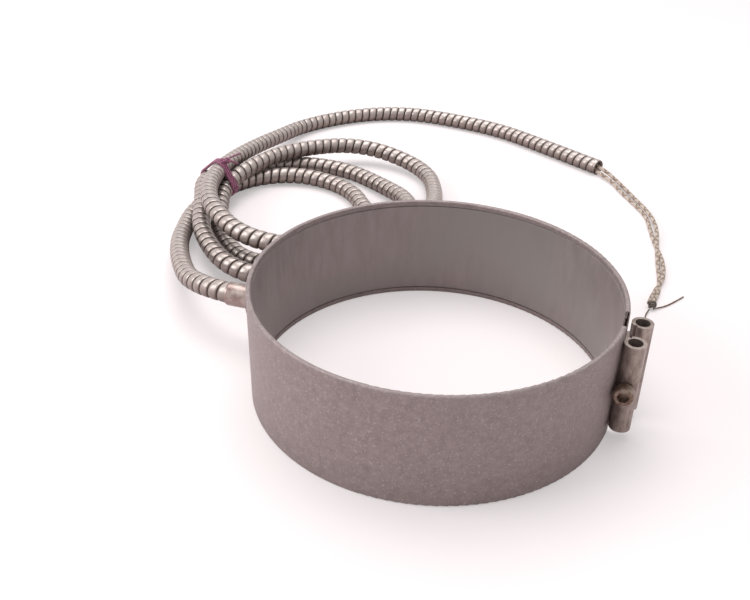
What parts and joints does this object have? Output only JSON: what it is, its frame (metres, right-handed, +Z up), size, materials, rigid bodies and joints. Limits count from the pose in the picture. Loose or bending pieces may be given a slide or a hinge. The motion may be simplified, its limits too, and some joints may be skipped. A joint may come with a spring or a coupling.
{
  "type": "band heater",
  "caption": "Mica band heater with tube-lug screw clamp, folded steel sheath and loosely coiled armoured lead with two braided wires.",
  "frame": {"origin": "axis of the band's bore, at the level of the edge it stands on", "axes": "+Z up along the bore's axis, +X through the middle of the gap and the closure"},
  "size_m": [0.2884, 0.3815, 0.05],
  "materials": {
    "sheath": "aluminised steel sheet, matt mottled grey with fine pale specks",
    "liner": "steel sheet, smooth dull grey",
    "mica": "pressed mica sheet, pale tan with small flakes",
    "ribbon": "nickel-chrome resistance ribbon",
    "lug": "rolled steel, brownish grey from heat",
    "screw": "plain steel with a light brown film of rust",
    "rivet": "plain steel rivets and studs",
    "ferrule": "turned and crimped steel",
    "armour": "strip-wound galvanised steel armour, dark grooves",
    "tie": "soft maroon string",
    "lead": "glass-fibre braid, cream with a brown tracer",
    "knot": "dark frayed braid and wire",
    "wire": "bare nickel wire"
  },
  "bodies": {
    "band": {"outer_sheath": "sheath", "inner_sheath": "liner", "inner_mica": "mica", "winding_card": "mica", "resistance_ribbon": "ribbon", "outer_mica": "mica", "near_lug": "lug", "far_lug": "lug", "terminal_cap": "sheath", "cap_rivets": "rivet", "terminal_stud_upper": "rivet", "terminal_stud_lower": "rivet", "exit_ferrule": "ferrule", "hose_root": "armour", "hose_coil": "armour", "hose_run": "armour", "hose_tie": "tie", "lead_one": "lead", "lead_two": "lead", "lead_knot": "knot", "wire_end_one": "wire", "wire_end_two": "wire"},
    "screw": {"clamp_screw": "screw"},
    "nut": {"clamp_nut": "screw"}
  },
  "joints": [
    {"name": "screw_turn", "type": "hinge", "parent": "band", "child": "screw", "pos_m": [0.08054, -0.01145, 0.025], "axis": [0, -1, 0], "range_deg": [0, 1800]},
    {"name": "nut_travel", "type": "slide", "parent": "band", "child": "nut", "axis": [0, 1, 0], "range_m": [0, 0.0041]}
  ],
  "couplings": [
    {"joint": "nut_travel", "follows": "screw_turn", "m_per_rad": 0.00012732}
  ]
}
